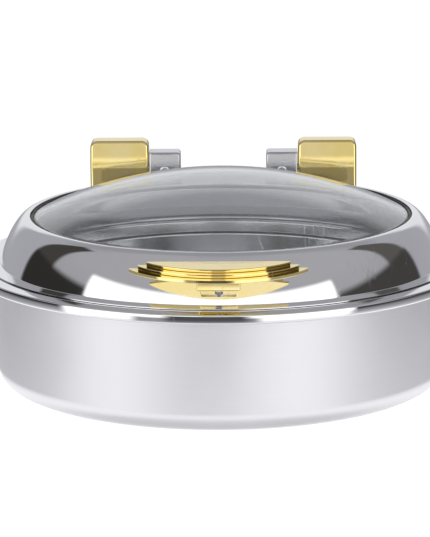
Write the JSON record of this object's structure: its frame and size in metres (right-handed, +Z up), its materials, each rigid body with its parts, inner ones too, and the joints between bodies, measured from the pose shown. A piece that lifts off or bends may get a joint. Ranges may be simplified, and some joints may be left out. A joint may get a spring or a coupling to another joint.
{
  "type": "chafing dish food warmer",
  "caption": "Round chafing dish with a brushed water bowl, lift-out food pan, hinged lid with domed glass window, polished rings, gold grip and rear hinge covers.",
  "frame": {"origin": "centre of the base plate's flat underside, on the bowl's axis", "axes": "+Z up along the bowl's axis, -Y towards the grip at the front, +Y towards the lid hinges, +X to the right seen from the front"},
  "size_m": [0.441, 0.4993, 0.1889],
  "materials": {
    "brushed_steel": "fine brushed stainless steel",
    "polished_steel": "mirror polished stainless steel",
    "satin_steel": "satin stainless steel",
    "gold_plating": "mirror bright gold plating",
    "aluminium": "plain rolled",
    "seal_rubber": "dark silicone",
    "black_plastic": "moulded, matte",
    "clear_glass": "clear tempered glass"
  },
  "bodies": {
    "base": {"water_pan": "brushed_steel", "rim_ring": "polished_steel", "heat_spreader": "aluminium", "induction_plate": "brushed_steel", "hinge_bracket_left": "satin_steel", "hinge_damper_left": "black_plastic", "hinge_cover_left": "gold_plating", "cover_screw_left": "gold_plating", "hinge_bracket_right": "satin_steel", "hinge_damper_right": "black_plastic", "hinge_cover_right": "gold_plating", "cover_screw_right": "gold_plating"},
    "pan": {"food_pan": "satin_steel"},
    "lid": {"lid_ring": "polished_steel", "window_seal": "seal_rubber", "lid_glass": "clear_glass", "lid_arm_left": "satin_steel", "hinge_pin_left": "satin_steel", "pin_screw_left": "satin_steel", "lid_arm_screw_left_1": "satin_steel", "lid_arm_screw_left_2": "satin_steel", "lid_arm_screw_left_3": "satin_steel", "lid_arm_right": "satin_steel", "hinge_pin_right": "satin_steel", "pin_screw_right": "satin_steel", "lid_arm_screw_right_1": "satin_steel", "lid_arm_screw_right_2": "satin_steel", "lid_arm_screw_right_3": "satin_steel", "handle_grip": "gold_plating", "handle_post": "gold_plating", "grip_screw": "satin_steel", "handle_backing_plate": "satin_steel", "handle_screw_left": "satin_steel", "handle_screw_right": "satin_steel"}
  },
  "joints": [
    {"name": "lid_open", "type": "hinge", "parent": "base", "child": "lid", "pos_m": [0, 0.236, 0.1499], "axis": [-1, 0, 0], "range_deg": [0, 90]},
    {"name": "pan_lift", "type": "slide", "parent": "base", "child": "pan", "axis": [0, 0, 1], "range_m": [0, 0.01]}
  ]
}
